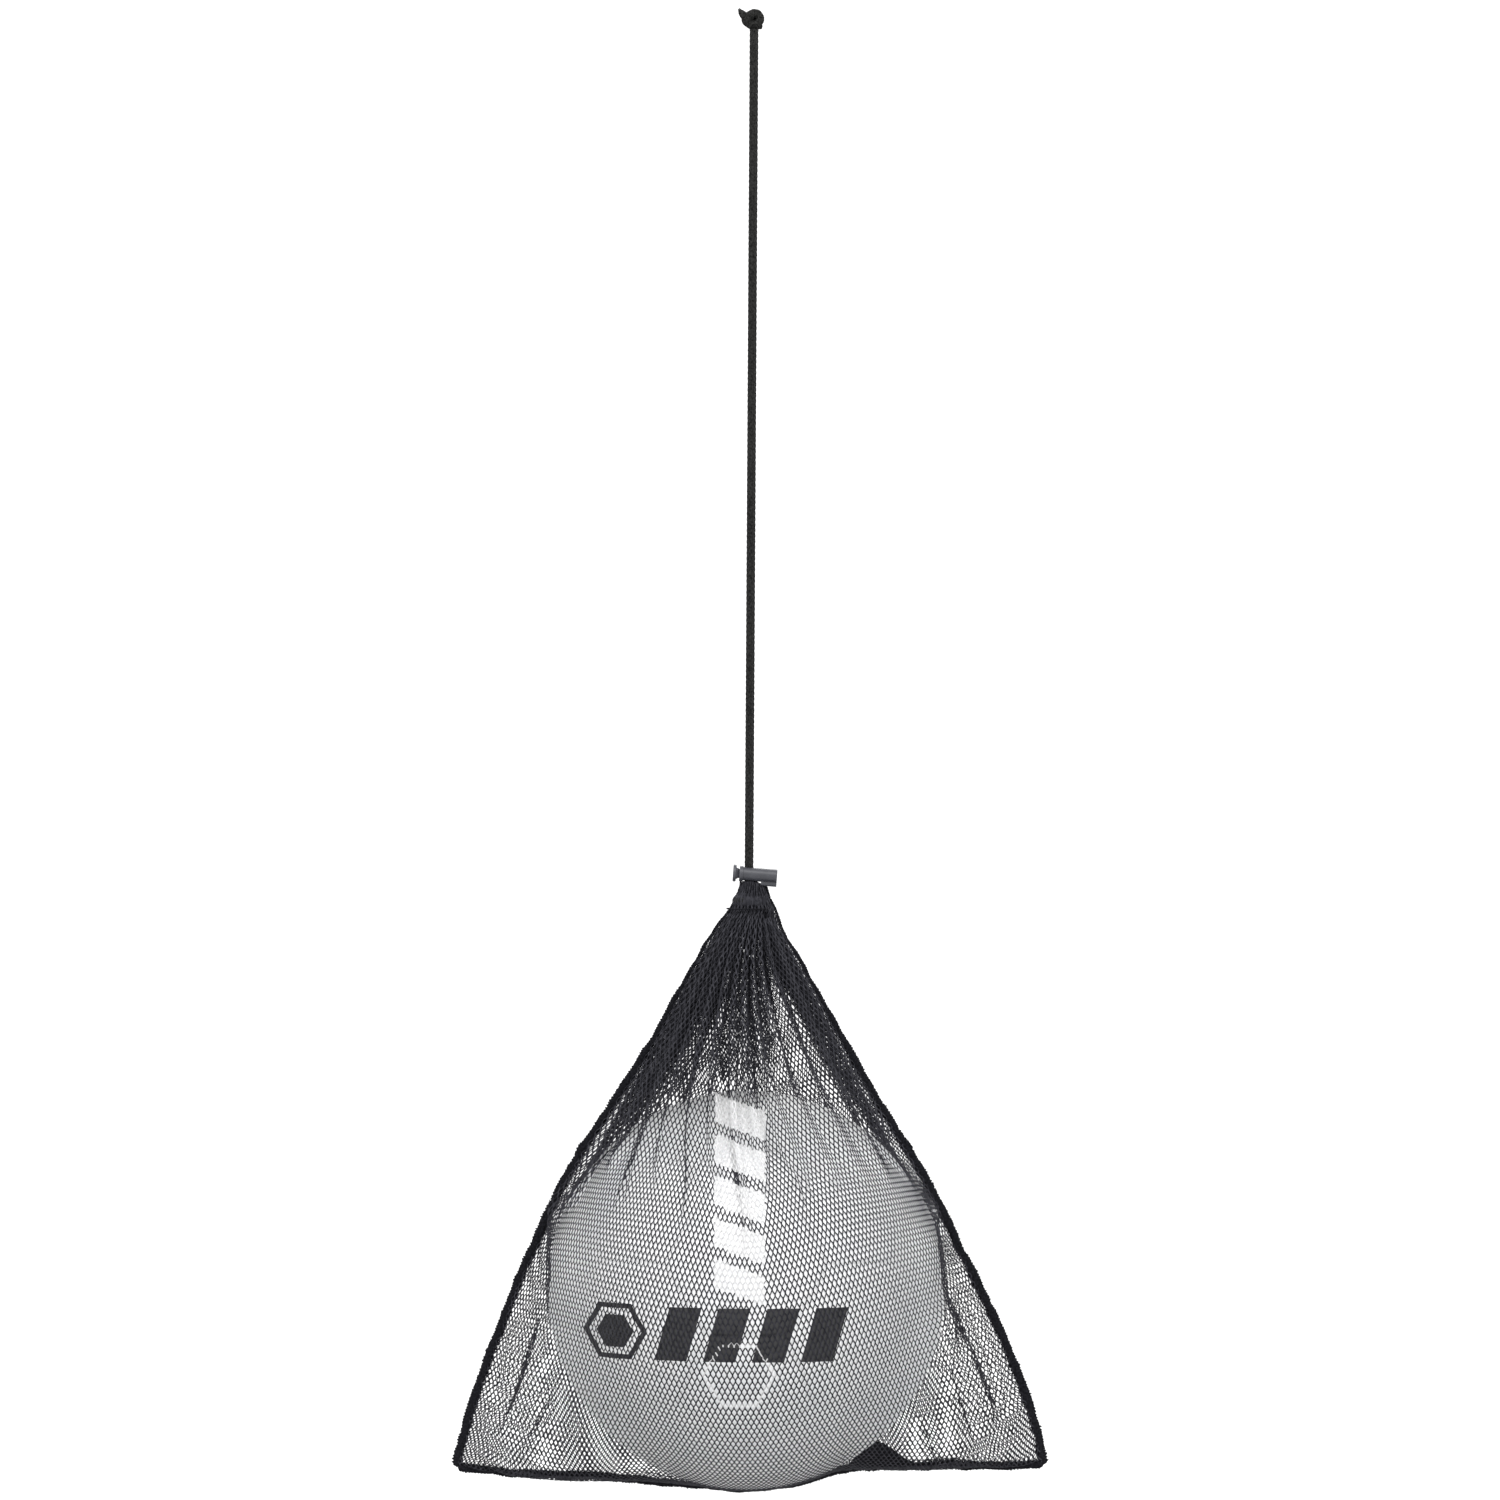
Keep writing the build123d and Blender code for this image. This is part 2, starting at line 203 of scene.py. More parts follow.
cover = mottled("ball_cover", (0.75, 0.75, 0.76), 0.42, (0.84, 0.845, 0.86), (0.90, 0.90, 0.905),
                22, bump=0.25, bump_scale=1400, distance=0.1 * MM, Coat_Weight=0.1, Coat_Roughness=0.3)
print_on_ball(cover)


# ---- Mesh helpers ----
def mesh_object(name, points, faces, materials, slots=None, smooth=True):
    """A mesh object from numpy points (n, 3) and faces, all with the same number of corners or a list."""
    mesh = bpy.data.meshes.new(name)
    points = np.asarray(points, np.float32)
    if isinstance(faces, np.ndarray):
        corners = faces.shape[1]
        mesh.vertices.add(len(points))
        mesh.vertices.foreach_set("co", points.ravel())
        mesh.loops.add(faces.size)
        mesh.loops.foreach_set("vertex_index", faces.ravel().astype(np.int32))
        mesh.polygons.add(len(faces))
        mesh.polygons.foreach_set("loop_start", np.arange(0, faces.size, corners, dtype=np.int32))
        mesh.polygons.foreach_set("loop_total", np.full(len(faces), corners, np.int32))
        mesh.update(calc_edges=True)
    else:
        mesh.from_pydata(points.tolist(), [], faces)
    for one in materials if isinstance(materials, (list, tuple)) else [materials]:
        mesh.materials.append(one)
    if slots is not None:
        mesh.polygons.foreach_set("material_index", np.asarray(slots, np.int32))
    mesh.polygons.foreach_set("use_smooth", np.full(len(mesh.polygons), smooth))
    mesh.validate()
    mesh.update()
    made = bpy.data.objects.new(name, mesh)
    bpy.context.scene.collection.objects.link(made)
    return made


def tube_faces(rings, around, caps=True):
    """Quads between successive closed rings, with a fan at each end if caps."""
    grid = np.arange(rings * around).reshape(rings, around)
    a, b = grid[:-1], grid[1:]
    faces = np.stack([a, np.roll(a, -1, 1), np.roll(b, -1, 1), b], -1).reshape(-1, 4).tolist()
    if caps:
        faces += [grid[0][::-1].tolist(), grid[-1].tolist()]
    return faces


def frames_along(path, side=(0, -1, 0)):
    """Unit tangent, side and up vectors at each point of a path, turning as little as possible."""
    path = np.asarray(path, float)
    tangent = np.gradient(path, axis=0)
    tangent /= np.linalg.norm(tangent, axis=1, keepdims=True)
    sides = np.zeros_like(tangent)
    last = np.array(side, float)
    for i, t in enumerate(tangent):
        last = last - t * (last @ t)
        last /= np.linalg.norm(last)
        sides[i] = last
    return tangent, sides, np.cross(tangent, sides)


def gaps(points):
    """Distances between successive points."""
    return np.linalg.norm(np.diff(points, axis=0), axis=1)


def running(parts):
    """Running sum of the parts, from 0 on."""
    return np.concatenate([[0], np.cumsum(parts)])


def resample(path, step):
    """The path with points about every step, and each point's distance along it."""
    path = np.asarray(path, float)
    reach = running(gaps(path))
    at = np.linspace(0, reach[-1], max(int(round(reach[-1] / step)), 2) + 1)
    return np.stack([np.interp(at, reach, path[:, k]) for k in range(3)], -1), at


def smooth_step(t):
    """0 below t = 0, 1 above t = 1, and an even curve between."""
    t = np.clip(t, 0, 1)
    return t * t * (3 - 2 * t)


# ---- Drawcord: two braided strands that hang one behind the other ----
CORD = 4.0 * MM
CARRIERS = 6  # strands of the braid in each direction
BRAID_PITCH = 3.1 * MM
BRAID_LOW, BRAID_RELIEF = 0.88, 0.15  # of the radius: the valleys, and how far the strands rise from them


def route_line(name, route):
    """The smooth line through a cord's route, read from its NURBS spline."""
    curve = bpy.data.curves.new(name, "CURVE")
    curve.dimensions = "3D"
    spline = curve.splines.new("NURBS")
    spline.points.add(len(route) - 1)
    for point, place in zip(spline.points, route):
        point.co = (*place, 1)
    spline.order_u = 3
    spline.use_endpoint_u = True
    spline.resolution_u = 24
    holder = bpy.data.objects.new(name, curve)
    bpy.context.scene.collection.objects.link(holder)
    line = bpy.data.meshes.new_from_object(holder)
    points = np.array([v.co for v in line.vertices])
    bpy.data.objects.remove(holder)
    return points


def braided(name, path, radius, around=20, step=0.5 * MM, turn=0.0, taper=None):
    """A braided cord: a closed tube with the relief of two families of strands that pass over and under."""
    path, at = resample(path, step)
    _, side, up = frames_along(path)
    angle = np.linspace(0, 2 * pi, around, endpoint=False) + turn
    a = CARRIERS * angle[None] / (2 * pi) + at[:, None] / BRAID_PITCH
    b = CARRIERS * angle[None] / (2 * pi) - at[:, None] / BRAID_PITCH
    crown_a, crown_b = np.abs(np.sin(pi * a)), np.abs(np.sin(pi * b))
    over = (np.floor(a) + np.floor(b)) % 2
    lift = np.where(over > 0.5, crown_a, crown_b)
    reach = radius * (BRAID_LOW + BRAID_RELIEF * lift)
    if taper is not None:
        reach = reach * taper(at / at[-1])[:, None]
    around_path = np.cos(angle)[None, :, None] * side[:, None] + np.sin(angle)[None, :, None] * up[:, None]
    points = path[:, None] + reach[..., None] * around_path
    return mesh_object(name, points.reshape(-1, 3), tube_faces(len(path), around), cord_black), path


cords = []
for name, turn in (("front_cord", 0.0), ("back_cord", 0.4)):
    low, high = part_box(name + "_strand")
    x, y = (low.x + high.x) / 2, (low.y + high.y) / 2
    route = [(x, y, low.z), (x, y, -0.30), (x, y, -0.15), (x, y, high.z)]
    cords.append(braided(name, route_line(name + "_route", route), CORD / 2, turn=turn))


# ---- Knot: both strands looped over each other, with two heat-sealed ends ----
knot_middle = np.array((knot_low + knot_high) / 2)
KNOT_TUBE = 2.5 * MM
LOOP_RADIUS = 3.0 * MM


def loop(name, centre, tip_x, tip_z, turn):
    """A closed braided loop, seen nearly face on, tipped about X and Z."""
    angle = np.linspace(0, 2 * pi, 90)
    ring = np.stack([np.cos(angle), 0.16 * np.sin(2 * angle), np.sin(angle) * 0.98], -1) * LOOP_RADIUS
    tipped = np.array(Matrix.Rotation(tip_z, 3, "Z") @ Matrix.Rotation(tip_x, 3, "X"))
    return braided(name, centre + ring @ tipped.T, KNOT_TUBE, around=20, step=0.42 * MM, turn=turn)[0]


knot = loop("end_knot_front_loop", knot_middle + (0.2 * MM, -2.1 * MM, 0), 0.22, 0.1, 0.0)
knot_back = loop("end_knot_back_loop", knot_middle + (-0.3 * MM, 2.1 * MM, -0.2 * MM), -0.3, -0.2, 0.5)
WRAP = ((3.6, 0.4, -3.2), (0.5, -1.2, -4.0), (-3.4, -0.6, -2.6), (-5.0, 0.2, -0.2), (-3.2, 1.0, 2.2),
        (0.4, 1.2, 3.4))
wrap_line = route_line("wrap_route", [knot_middle + np.array(place) * MM for place in WRAP])
knot_core, _ = braided("end_knot_wrap", wrap_line, KNOT_TUBE * 0.95, around=18, step=0.42 * MM)

ends = []
for node, root, tip in (("front_cord_end", (-3.6, -1.2, -0.6), (-8.4, -1.5, 5.6)),
                        ("back_cord_end", (-2.6, 1.6, -0.4), (-6.6, 2.2, 5.0))):
    root, tip = knot_middle + np.array(root) * MM, knot_middle + np.array(tip) * MM
    bend = (root + tip) / 2 + (-0.5 * MM, 0, -0.3 * MM)
    stub, _ = braided(node + "_stub", route_line(node, [root, bend, tip]), CORD / 2, around=18,
                      step=0.35 * MM, taper=lambda t: 1 - 0.62 * smooth_step((t - 0.55) / 0.45))
    stub.data.materials.append(heat_sealed)
    tips = [np.linalg.norm(np.array(face.center) - tip) < 1.2 * MM for face in stub.data.polygons]
    stub.data.polygons.foreach_set("material_index", np.array(tips, np.int32))
    ends.append((node, stub))


# ---- Seam lines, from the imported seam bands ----
def band_line(node, by):
    """The middle line of a sewn band: the mean of its two edges at each place along axis by."""
    points = np.array([v.co for v in nodes[node].data.vertices])
    keys = np.round(points[:, by], 4)
    order = np.unique(keys)
    line = np.array([points[keys == key].mean(0) for key in order])
    line[:, 1] = 0
    keep = [0]
    for i in range(1, len(line)):
        if abs(line[i, by] - line[keep[-1], by]) > 0.0015:
            keep.append(i)
    return line[keep]


left_line = band_line("left_side_seam", 2)[::-1]
right_line = band_line("right_side_seam", 2)[::-1]
bottom_line = band_line("bottom_seam", 0)


# ---- Net panels: two flat cloths sewn on three sides, gathered at the top, draped over the ball ----
FLAT_WIDTH, FLAT_HEIGHT = 0.338, 0.380
SIDE_HEIGHT = 0.352  # the net draws in a little along its side seams
NET_RADIUS = BALL_RADIUS + 0.0007
HALF_GAP = 0.0007  # each panel stays this far from the plane between the two
sign = np.array([-1.0, 1.0])[:, None, None]  # the front panel's side of that plane, and the back one's

# The gathered neck: height, half sizes and sideways shift of its outline at the neck and at the hem's top.
NECK_Z, HEM_TOP_Z = channel_low.z + 0.0015, channel_high.z + 0.00415
NECK_HALF, HEM_HALF = (0.0122, 0.0108), (0.0064, 0.0062)
NECK_SHIFT, HEM_SHIFT = 0.0023, 0.0024
HEM_DROP = 28.0  # per metre: the hem's top falls away from the cord
CORD_ROOM = 4.9 * MM  # the pleats stay this far from the middle of the two strands


def neck_outline(share):
    """Half sizes, shift and height of the gathered outline, share 0 at the neck and 1 at the hem's top."""
    half = [a + (b - a) * share for a, b in zip(NECK_HALF, HEM_HALF)]
    shift = NECK_SHIFT + (HEM_SHIFT - NECK_SHIFT) * share
    return half[0], half[1], shift, NECK_Z + (HEM_TOP_Z - NECK_Z) * share


def beside_the_hem(way, share):
    """A place on the left (way -1) or right (way 1) side of the gathered hem."""
    half, _, shift, z = neck_outline(share)
    return shift + way * half, 0, z - HEM_DROP * share * (shift + way * half) ** 2


def seam_up_the_hem(line, way):
    """The seam's line, continued up beside the gathered hem."""
    beside = [beside_the_hem(way, share) for share in (1, 0.5, 0)]
    return np.vstack([beside, line[line[:, 2] < NECK_Z - 0.005]])


def along(points, share):
    """Points at shares of a polyline's length."""
    reach = running(gaps(points))
    return np.stack([np.interp(np.asarray(share) * reach[-1], reach, points[:, k]) for k in range(3)], -1)


# The bottom seam as the cloth settles: drawn up under the ball, a little lower towards the left corner.
SETTLE = np.array([(-0.157, -0.0014), (-0.124, -0.0022), (-0.080, 0.0033), (-0.050, 0.0044),
                   (0.045, 0.0048), (0.085, 0.0017), (0.140, -0.0002), (0.162, 0.0010)])
UNDER_BALL_HALF = 0.06  # as far as this from the middle, the seam runs under the ball
under_ball = BALL[2] - np.sqrt(np.maximum(NET_RADIUS**2 - bottom_line[:, 0] ** 2, 0)) - 0.0005
bottom_line[:, 2] += np.interp(bottom_line[:, 0], *SETTLE.T)
below = np.abs(bottom_line[:, 0]) < UNDER_BALL_HALF
bottom_line[:, 2] = np.where(below, np.minimum(bottom_line[:, 2], under_ball), bottom_line[:, 2])
left_line, right_line = seam_up_the_hem(left_line, -1), seam_up_the_hem(right_line, 1)
left_corner = np.array([left_line[-1, 0] - 0.0006, 0, bottom_line[0, 2]])
right_corner = np.array([right_line[-1, 0] + 0.0006, 0, bottom_line[-1, 2]])
left_edge = np.vstack([left_line[2:], left_corner])
right_edge = np.vstack([right_line[2:], right_corner])
bottom_edge = np.vstack([left_corner, bottom_line[2:-2], right_corner])

# Pleats of the front and back panel, from left to right: each one's part of the cloth, and how far down
# it keeps its fold.
PLEAT_WIDTHS = [
    [1.2, 1.1, 1.0, 0.8, 0.9, 0.7, 0.9, 0.7, 0.9, 0.7, 0.8, 0.9, 1.0, 1.1],
    [1.1, 1.0, 0.8, 0.9, 0.8, 0.9, 0.7, 0.9, 0.8, 0.9, 1.0, 1.1],
]
PLEAT_KEEP = [
    [1.5, 1.4, 1.25, 1.1, 1.3, 1.0, 1.3, 1.0, 1.25, 1.0, 0.9, 0.6, 0.7, 1.1],
    [1.3, 1.1, 1.0, 1.2, 1.1, 1.2, 1.0, 1.2, 1.0, 0.9, 1.0, 1.2],
]
LEAST_CREST = 0.12  # at least this share of a pleat's cloth stays on the outline


def pleats(side, q, cloth, outline, depth_v):
    """Where columns q of a gathered row lie along its outline (0 to 1), how far in they fold, and which way
    they lean."""
    widths = np.array(PLEAT_WIDTHS[side]) / sum(PLEAT_WIDTHS[side])
    keep = widths * np.array(PLEAT_KEEP[side]) ** min(0.1 + depth_v / 0.08, 2.4)
    spare = max(cloth - outline, 0) * keep / keep.sum()
    crest = np.maximum(widths * cloth - spare, LEAST_CREST * widths * cloth)
    crest *= outline / crest.sum()
    deep = np.sqrt(np.maximum((widths * cloth) ** 2 - crest**2, 0)) / 2
    edges = running(widths)
    phase = np.interp(q, edges, np.arange(len(edges)))
    number = np.minimum(phase.astype(int), len(deep) - 1)
    part = np.linspace(0, 1, 33)
    for n in range(len(deep)):  # even spacing along the fold, so the cells on its crest stay open
        step = np.hypot(crest[n] / 32, deep[n] * np.diff(0.5 - 0.5 * np.cos(2 * pi * part)))
        run = running(step)
        phase[number == n] = n + np.interp(phase[number == n] - n, run / run[-1], part)
    place = np.interp(phase, np.arange(len(edges)), running(crest)) / outline
    return place, deep[number] * (0.5 - 0.5 * np.cos(2 * pi * phase)), np.where(number % 2 == 0, 1, -1)


def lay(line, share, deep, lean, side):
    """The folded row: pleats go inwards as far as the ball allows, and the rest of them lies sideways."""
    length = gaps(line).sum()
    points = along(line, share)
    ball_reach = np.sqrt(np.maximum(NET_RADIUS**2 - (points[:, 2] - BALL[2]) ** 2, 0))
    inward = np.minimum(deep, np.maximum(np.hypot(points[:, 0], points[:, 1]) - ball_reach, 0) * 0.9)
    points = along(line, np.clip(share + lean * (deep - inward) / length, 0.004, 0.996))
    from_axis = np.maximum(np.hypot(points[:, 0] - NECK_SHIFT, points[:, 1]), 1e-6)
    inward = np.minimum(inward, 0.7 * from_axis)
    points[:, 0] = NECK_SHIFT + (points[:, 0] - NECK_SHIFT) * (1 - inward / from_axis)
    points[:, 1] = np.maximum(points[:, 1] * (1 - inward / from_axis), HALF_GAP) * sign[side, 0, 0]
    return points


def hull_radius(z):
    """The bag's round middle at height z: a cone from the neck down to the ball, then the ball."""
    top = NECK_HALF[1]
    distance = hypot(top, NECK_Z - BALL[2])
    touch = asin(top / distance) + acos(NET_RADIUS / distance)
    touch_z, touch_radius = BALL[2] + NET_RADIUS * cos(touch), NET_RADIUS * sin(touch)
    cone = top + (touch_radius - top) * (NECK_Z - z) / (NECK_Z - touch_z)
    ball = np.sqrt(np.maximum(NET_RADIUS**2 - (z - BALL[2]) ** 2, 1e-10))
    return np.where(z > touch_z, cone, ball)


def skew(q, v):
    """How far down its seam each row is drawn, against an even spacing."""
    beside = 1 - np.sin(pi * q) ** 0.6
    return (0.30 - 0.16 * q) * beside * v * (1 - v)


def gather_at(v):
    """How much the cloth's cells are squeezed sideways at distance v below the neck."""
    opens = 0.55 + 0.35 * smooth_step(v / 0.035)
    return opens + 0.04 * smooth_step((v - 0.03) / 0.08) + 0.06 * smooth_step((v - 0.15) / 0.11)


def start_shape(columns, rows):
    """Both panels laid on the bag's outline, with the pleats pushed in: (2, rows, columns, 3)."""
    q, t = np.linspace(0, 1, 240), np.linspace(0, 1, 400)
    left, right, low = along(left_edge, t), along(right_edge, t), along(bottom_edge, q)
    place = left[:, None] * (1 - q)[:, None] + right[:, None] * q[:, None]
    place = place + (t**3)[:, None, None] * (low - place[-1])
    x, z = place[..., 0], place[..., 2]
    radius = hull_radius(z)
    left_reach = -np.interp(-z, -left[:, 2], left[:, 0])
    reach = np.where(x < 0, left_reach, np.interp(-z, -right[:, 2], right[:, 0]))
    reach = np.maximum(reach, radius + 1e-4)
    slope = np.tan(np.arcsin(radius / reach))
    bulge = np.sqrt(np.maximum(radius**2 - x**2, 0))
    place[..., 1] = np.where(np.abs(x) < radius**2 / reach, bulge, np.maximum(reach - np.abs(x), 0) * slope)
    v = np.linspace(0, 1, rows)
    smooth = np.stack([along(place[:, i], v + skew(q[i], v)) for i in range(len(q))], 1)
    shape = np.zeros((2, rows, columns, 3))
    q = np.linspace(0, 1, columns)
    for row in range(rows):
        v = FLAT_HEIGHT * row / (rows - 1)
        outline = gaps(smooth[row]).sum()
        for side in (0, 1):
            shape[side, row] = lay(smooth[row], *pleats(side, q, FLAT_WIDTH * gather_at(v), outline, v), side)
    return shape


def gathered_ring(columns, share):
    """One row of both panels where the cord gathers them: a pleated half ring each."""
    half_x, half_y, shift, z = neck_outline(share)
    turn = pi * (1 - np.linspace(0, 1, 200))
    outline = np.stack([shift + half_x * np.cos(turn), half_y * np.sin(turn), 0 * turn + z], -1)
    around = gaps(outline).sum()
    both = []
    for side in (0, 1):
        folds = pleats(side, np.linspace(0, 1, columns), FLAT_WIDTH * gather_at(0), around, 0)
        points = lay(outline, *folds, side)
        points[:, 2] = z - HEM_DROP * share * points[:, 0] ** 2
        if share > 0:
            points[:, :2] *= np.maximum(CORD_ROOM / np.linalg.norm(points[:, :2], axis=1, keepdims=True), 1)
        both.append(points)
    return np.array(both)


def relax(shape, rounds, fall, bend):
    """Lets both panels settle in place: cloth that resists stretch, keeps its gathered pleats and rests on
    the ball."""
    laid = shape.copy()
    _, rows, columns, _ = shape.shape
    q, v = np.linspace(0, 1, columns), np.linspace(0, 1, rows)
    wide = FLAT_WIDTH / (columns - 1) * gather_at(v * FLAT_HEIGHT)[None, :, None]
    long = SIDE_HEIGHT + (FLAT_HEIGHT - SIDE_HEIGHT) * np.sin(pi * q) ** 0.6
    tall = long[None, None] * np.diff(v[:, None] + skew(q, v[:, None]), axis=0)
    cross = np.sqrt((wide[:, :-1] ** 2 + (FLAT_HEIGHT / (rows - 1)) ** 2)) * np.ones((1, 1, columns - 1))
    left, right = along(left_edge, v + skew(0, v)), along(right_edge, v + skew(1, v))
    low, top = along(bottom_edge, q), gathered_ring(columns, 0)
    every, but_last, but_first = slice(None), slice(0, columns - 1), slice(1, columns)
    old = shape.copy()
    hold_pleats = (0.06 * (1 - smooth_step((v * FLAT_HEIGHT - 0.11) / 0.10)))[None, :, None, None]

    def hold(a, b, rest, stretch, squeeze):
        """Moves points a and b towards being rest apart, by these shares when too long and too short."""
        apart = shape[b] - shape[a]
        length = np.sqrt((apart * apart).sum(-1))
        error = length - rest
        apart *= (np.where(error > 0, stretch, squeeze) * 0.5 * error / np.maximum(length, 1e-9))[..., None]
        shape[a] += apart
        shape[b] -= apart

    for _ in range(rounds):
        speed, old = (shape - old) * 0.9, shape.copy()
        shape += speed
        shape[..., 2] -= fall
        shape += hold_pleats * (laid - shape)
        for first in (0, 1):  # every second pair at a time
            upper, lower = slice(first, rows - 1, 2), slice(first + 1, rows, 2)
            near, next_to = slice(first, columns - 1, 2), slice(first + 1, columns, 2)
            hold((every, every, near), (every, every, next_to), wide, 1.0, 0.9)
            hold((every, upper), (every, lower), tall[:, first::2], 1.0, 0.45)
            for one, other in ((but_last, but_first), (but_first, but_last)):
                hold((every, upper, one), (every, lower, other), cross[:, first::2], 0.25, 0.12)
        shape[:, :, 1:-1] += bend * 0.5 * (0.5 * (shape[:, :, :-2] + shape[:, :, 2:]) - shape[:, :, 1:-1])
        shape[:, 1:-1] += bend * 0.5 * (0.5 * (shape[:, :-2] + shape[:, 2:]) - shape[:, 1:-1])
        shape[:, 0], shape[:, :, 0], shape[:, :, -1], shape[:, -1] = top, left, right, low
        loose = shape[:, 1:-1, 1:-1]
        loose[..., 1] = np.maximum(loose[..., 1] * sign, HALF_GAP) * sign
        away = loose - BALL
        far = np.linalg.norm(away, axis=-1, keepdims=True)
        loose[...] = BALL + away * np.maximum(NET_RADIUS / np.maximum(far, 1e-9), 1)
        lowest = np.interp(loose[..., 0], bottom_edge[:, 0], bottom_edge[:, 2]) - 0.0002
        loose[..., 2] = np.maximum(loose[..., 2], lowest)
    return shape


def finer(shape, columns, rows):
    """The same surface on a denser grid."""
    at = np.linspace(0, shape.shape[2] - 1, columns)
    i = np.minimum(at.astype(int), shape.shape[2] - 2)
    shape = shape[:, :, i] + (shape[:, :, i + 1] - shape[:, :, i]) * (at - i)[:, None]
    at = np.linspace(0, shape.shape[1] - 1, rows)
    i = np.minimum(at.astype(int), shape.shape[1] - 2)
    return shape[:, i] + (shape[:, i + 1] - shape[:, i]) * (at - i)[:, None, None]


COLUMNS, ROWS = 211, 173
drape = relax(start_shape(106, 87), 420, 5e-6, 0.06)
drape = relax(finer(drape, COLUMNS, ROWS), 200, 2e-6, 0.03)

# The hem above the neck: the same pleats, drawn in round the cord.
ROW = FLAT_HEIGHT / (ROWS - 1)
HEM_ROWS = 6
hem = [gathered_ring(COLUMNS, i / HEM_ROWS) for i in range(HEM_ROWS, 0, -1)]
sheet = np.concatenate([np.stack(hem, 1), drape], 1)


def crease(side, start, end, size):
    """Folds the cloth over itself along a line in the X-Z plane, fading out at both ends."""
    start, way = np.array(start), np.array(end) - np.array(start)
    length = np.linalg.norm(way)
    way /= length
    across = np.array([way[1], -way[0]])
    flat = sheet[side][..., [0, 2]] - start
    t, d = flat @ way / length, flat @ across
    strong = smooth_step(t / 0.25) * smooth_step((1 - t) / 0.35)
    move = -size * np.tanh(d / (0.45 * size)) * np.exp(-((d / (3.2 * size)) ** 2)) * strong
    sheet[side][..., 0] += move * across[0]
    sheet[side][..., 2] += move * across[1]
    lift = size * 0.35 * np.exp(-((d / size) ** 2)) * strong * np.sign(np.sin(d / size + 0.5))
    away = np.maximum(np.abs(sheet[side][..., 1]) + lift, HALF_GAP)
    sheet[side][..., 1] = np.where(strong > 0, away * sign[side, 0, 0], sheet[side][..., 1])
    from_ball = sheet[side] - BALL
    far = np.linalg.norm(from_ball, axis=-1, keepdims=True)
    outside = BALL + from_ball * np.maximum(NET_RADIUS / far, 1)
    sheet[side][...] = np.where(strong[..., None] > 0, outside, sheet[side])


CREASES = (  # panel, upper end and lower end in X and Z, and size
    (0, (0.1035, -0.645), (0.1130, -0.735), 0.0040), (0, (0.1095, -0.690), (0.1395, -0.774), 0.0050),
    (1, (0.1030, -0.648), (0.1110, -0.715), 0.0028), (0, (-0.1090, -0.624), (-0.1080, -0.716), 0.0036),
    (0, (-0.1115, -0.704), (-0.1315, -0.768), 0.0045), (0, (-0.103, -0.745), (-0.126, -0.788), 0.0017),
    (0, (0.120, -0.715), (0.142, -0.770), 0.0026), (1, (0.112, -0.735), (0.128, -0.785), 0.0024),
    (1, (-0.118, -0.730), (-0.138, -0.780), 0.0022), (0, (0.094, -0.756), (0.106, -0.790), 0.0018),
)
for side, start, end, size in CREASES:
    crease(side, start, end, size)
slope_u, slope_v = np.gradient(sheet, axis=2), np.gradient(sheet, axis=1)
normal = np.cross(slope_v, slope_u)
normal[1] *= -1
normal /= np.maximum(np.linalg.norm(normal, axis=-1, keepdims=True), 1e-12)
stretch = np.linalg.norm(slope_u, axis=-1) / (FLAT_WIDTH / (COLUMNS - 1))

# ---- The knitted net: six-sided cells with a crowned yarn round each opening ----
CELL_WIDTH, CELL_ROW = 2.75 * MM, 3.05 * MM
YARN = 0.82 * MM
UPRIGHT = 0.72 * MM  # half of a cell's upright side
YARN_CROWN = 0.34 * MM
HOLE_TOP, HOLE_SHOULDER = 2.02 * MM, 0.42 * MM
apex = CELL_ROW - UPRIGHT
corners = np.array([(0, -apex), (CELL_WIDTH / 2, -UPRIGHT), (CELL_WIDTH / 2, UPRIGHT), (0, apex),
                    (-CELL_WIDTH / 2, UPRIGHT), (-CELL_WIDTH / 2, -UPRIGHT)])
hole = np.array([(0, -HOLE_TOP), (1, -HOLE_SHOULDER), (1, HOLE_SHOULDER), (0, HOLE_TOP),
                 (-1, HOLE_SHOULDER), (-1, -HOLE_SHOULDER)])
CLOTH_MARGIN = 0.0008  # no cell's middle is nearer than this to the cloth's edge
top_v = -HEM_ROWS * ROW
columns_of_cells = int(FLAT_WIDTH / CELL_WIDTH) + 1
rows_of_cells = int((FLAT_HEIGHT - top_v) / CELL_ROW) + 1
i, j = np.meshgrid(np.arange(columns_of_cells), np.arange(rows_of_cells))
cells = []
for out_of_step in ((0, 0), (0.37 * CELL_WIDTH, 0.55 * CELL_ROW)):
    centre = np.stack([(i + 0.5 * (j % 2)) * CELL_WIDTH, top_v + j * CELL_ROW], -1).reshape(-1, 2)
    centre += out_of_step
    inside = (centre[:, 0] > CLOTH_MARGIN) & (centre[:, 0] < FLAT_WIDTH - CLOTH_MARGIN)
    cells.append(centre[inside & (centre[:, 1] < FLAT_HEIGHT - CLOTH_MARGIN)])


def look_up(table, flat):
    """Values of a grid over the flat cloth at flat places (n, 2)."""
    a = np.clip(flat[..., 0] / FLAT_WIDTH * (COLUMNS - 1), 0, COLUMNS - 1.001)
    b = np.clip((flat[..., 1] - top_v) / ROW, 0, ROWS + HEM_ROWS - 1.001)
    i, j = a.astype(int), b.astype(int)
    f, g = a - i, b - j
    if table.ndim == 3:
        f, g = f[..., None], g[..., None]
    upper = table[j, i] * (1 - f) + table[j, i + 1] * f
    lower = table[j + 1, i] * (1 - f) + table[j + 1, i + 1] * f
    return upper * (1 - g) + lower * g


